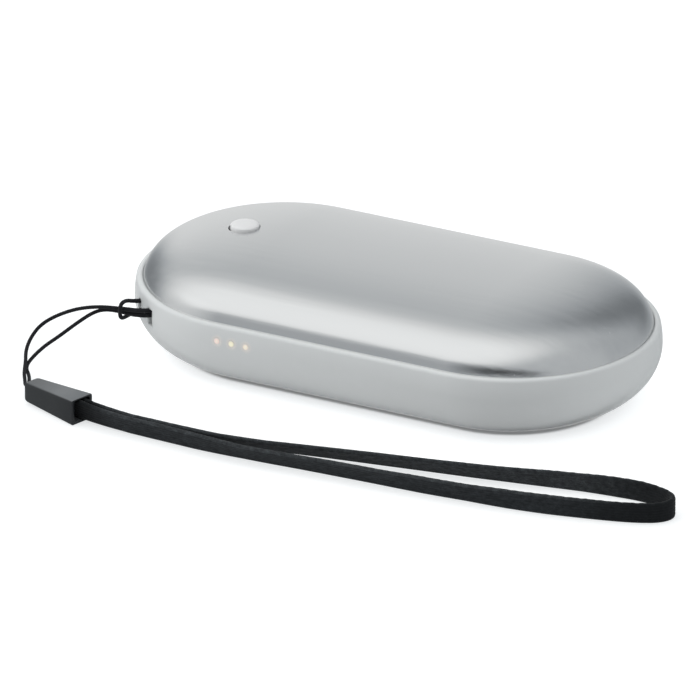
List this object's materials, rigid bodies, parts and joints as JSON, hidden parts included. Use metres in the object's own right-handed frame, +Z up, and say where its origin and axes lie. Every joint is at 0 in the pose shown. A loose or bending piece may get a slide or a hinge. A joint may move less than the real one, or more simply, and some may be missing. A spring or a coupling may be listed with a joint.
{
  "type": "rechargeable hand warmer",
  "caption": "Pebble-shaped rechargeable hand warmer: brushed aluminium dome over a white plastic tub, push button, indicator lights, USB-C port and a looped wrist strap.",
  "frame": {"origin": "middle of the body's flat underside, on the surface that it stands on", "axes": "+X along the body away from the button, -Y the side with the indicator lights, +Z up through the cover"},
  "size_m": [0.1421, 0.0835, 0.0239],
  "materials": {
    "shell_plastic": "glossy moulded white plastic",
    "cover_metal": "brushed lengthwise, clear anodised",
    "button_plastic": "satin moulded plastic",
    "frame_plastic": "moulded",
    "switch_plastic": "moulded",
    "spring_steel": "stamped",
    "board_laminate": "solder mask",
    "screw_steel": "plated",
    "socket_steel": "stamped and plated",
    "led_resin": "clear resin",
    "light_guide": "clear moulding, lit from behind",
    "ferrite": "sintered",
    "chip_plastic": "moulded",
    "capacitor_ceramic": "fired",
    "cell_wrap": "shrink wrap",
    "nickel": "rolled",
    "lead_red": "insulated wire",
    "lead_black": "insulated wire",
    "lead_white": "insulated wire",
    "foam": "closed-cell foam",
    "heater_polyimide": "amber film",
    "cord_textile": "braided thread",
    "ferrule_plastic": "satin moulded plastic",
    "strap_textile": "woven flat strap"
  },
  "bodies": {
    "housing": {"lower_shell": "shell_plastic", "top_cover": "cover_metal", "cover_frame": "frame_plastic", "switch_base": "switch_plastic", "switch_dome": "spring_steel", "circuit_board": "board_laminate", "board_screws": "screw_steel", "usb_shell": "socket_steel", "usb_tongue": "switch_plastic", "led_chips": "led_resin", "light_guide": "light_guide", "power_inductor": "ferrite", "controller_chip": "chip_plastic", "charger_chip": "chip_plastic", "capacitors": "capacitor_ceramic", "battery_cell_front": "cell_wrap", "battery_cell_rear": "cell_wrap", "nickel_strip_positive": "nickel", "nickel_strip_negative": "nickel", "battery_lead_positive": "lead_red", "battery_lead_negative": "lead_black", "foam_pad": "foam", "heater_film": "heater_polyimide", "heater_leads": "lead_white", "temperature_sensor": "chip_plastic", "sensor_leads": "lead_black", "strap_cord": "cord_textile", "strap_ferrule": "ferrule_plastic", "wrist_strap": "strap_textile"},
    "button": {"button_cap": "button_plastic", "switch_stem": "switch_plastic"}
  },
  "joints": [
    {"name": "button_press", "type": "slide", "parent": "housing", "child": "button", "axis": [0, 0, -1], "range_m": [0, 0.0004], "stiffness_N_per_m": 2000, "deforming": ["switch_dome"]}
  ]
}
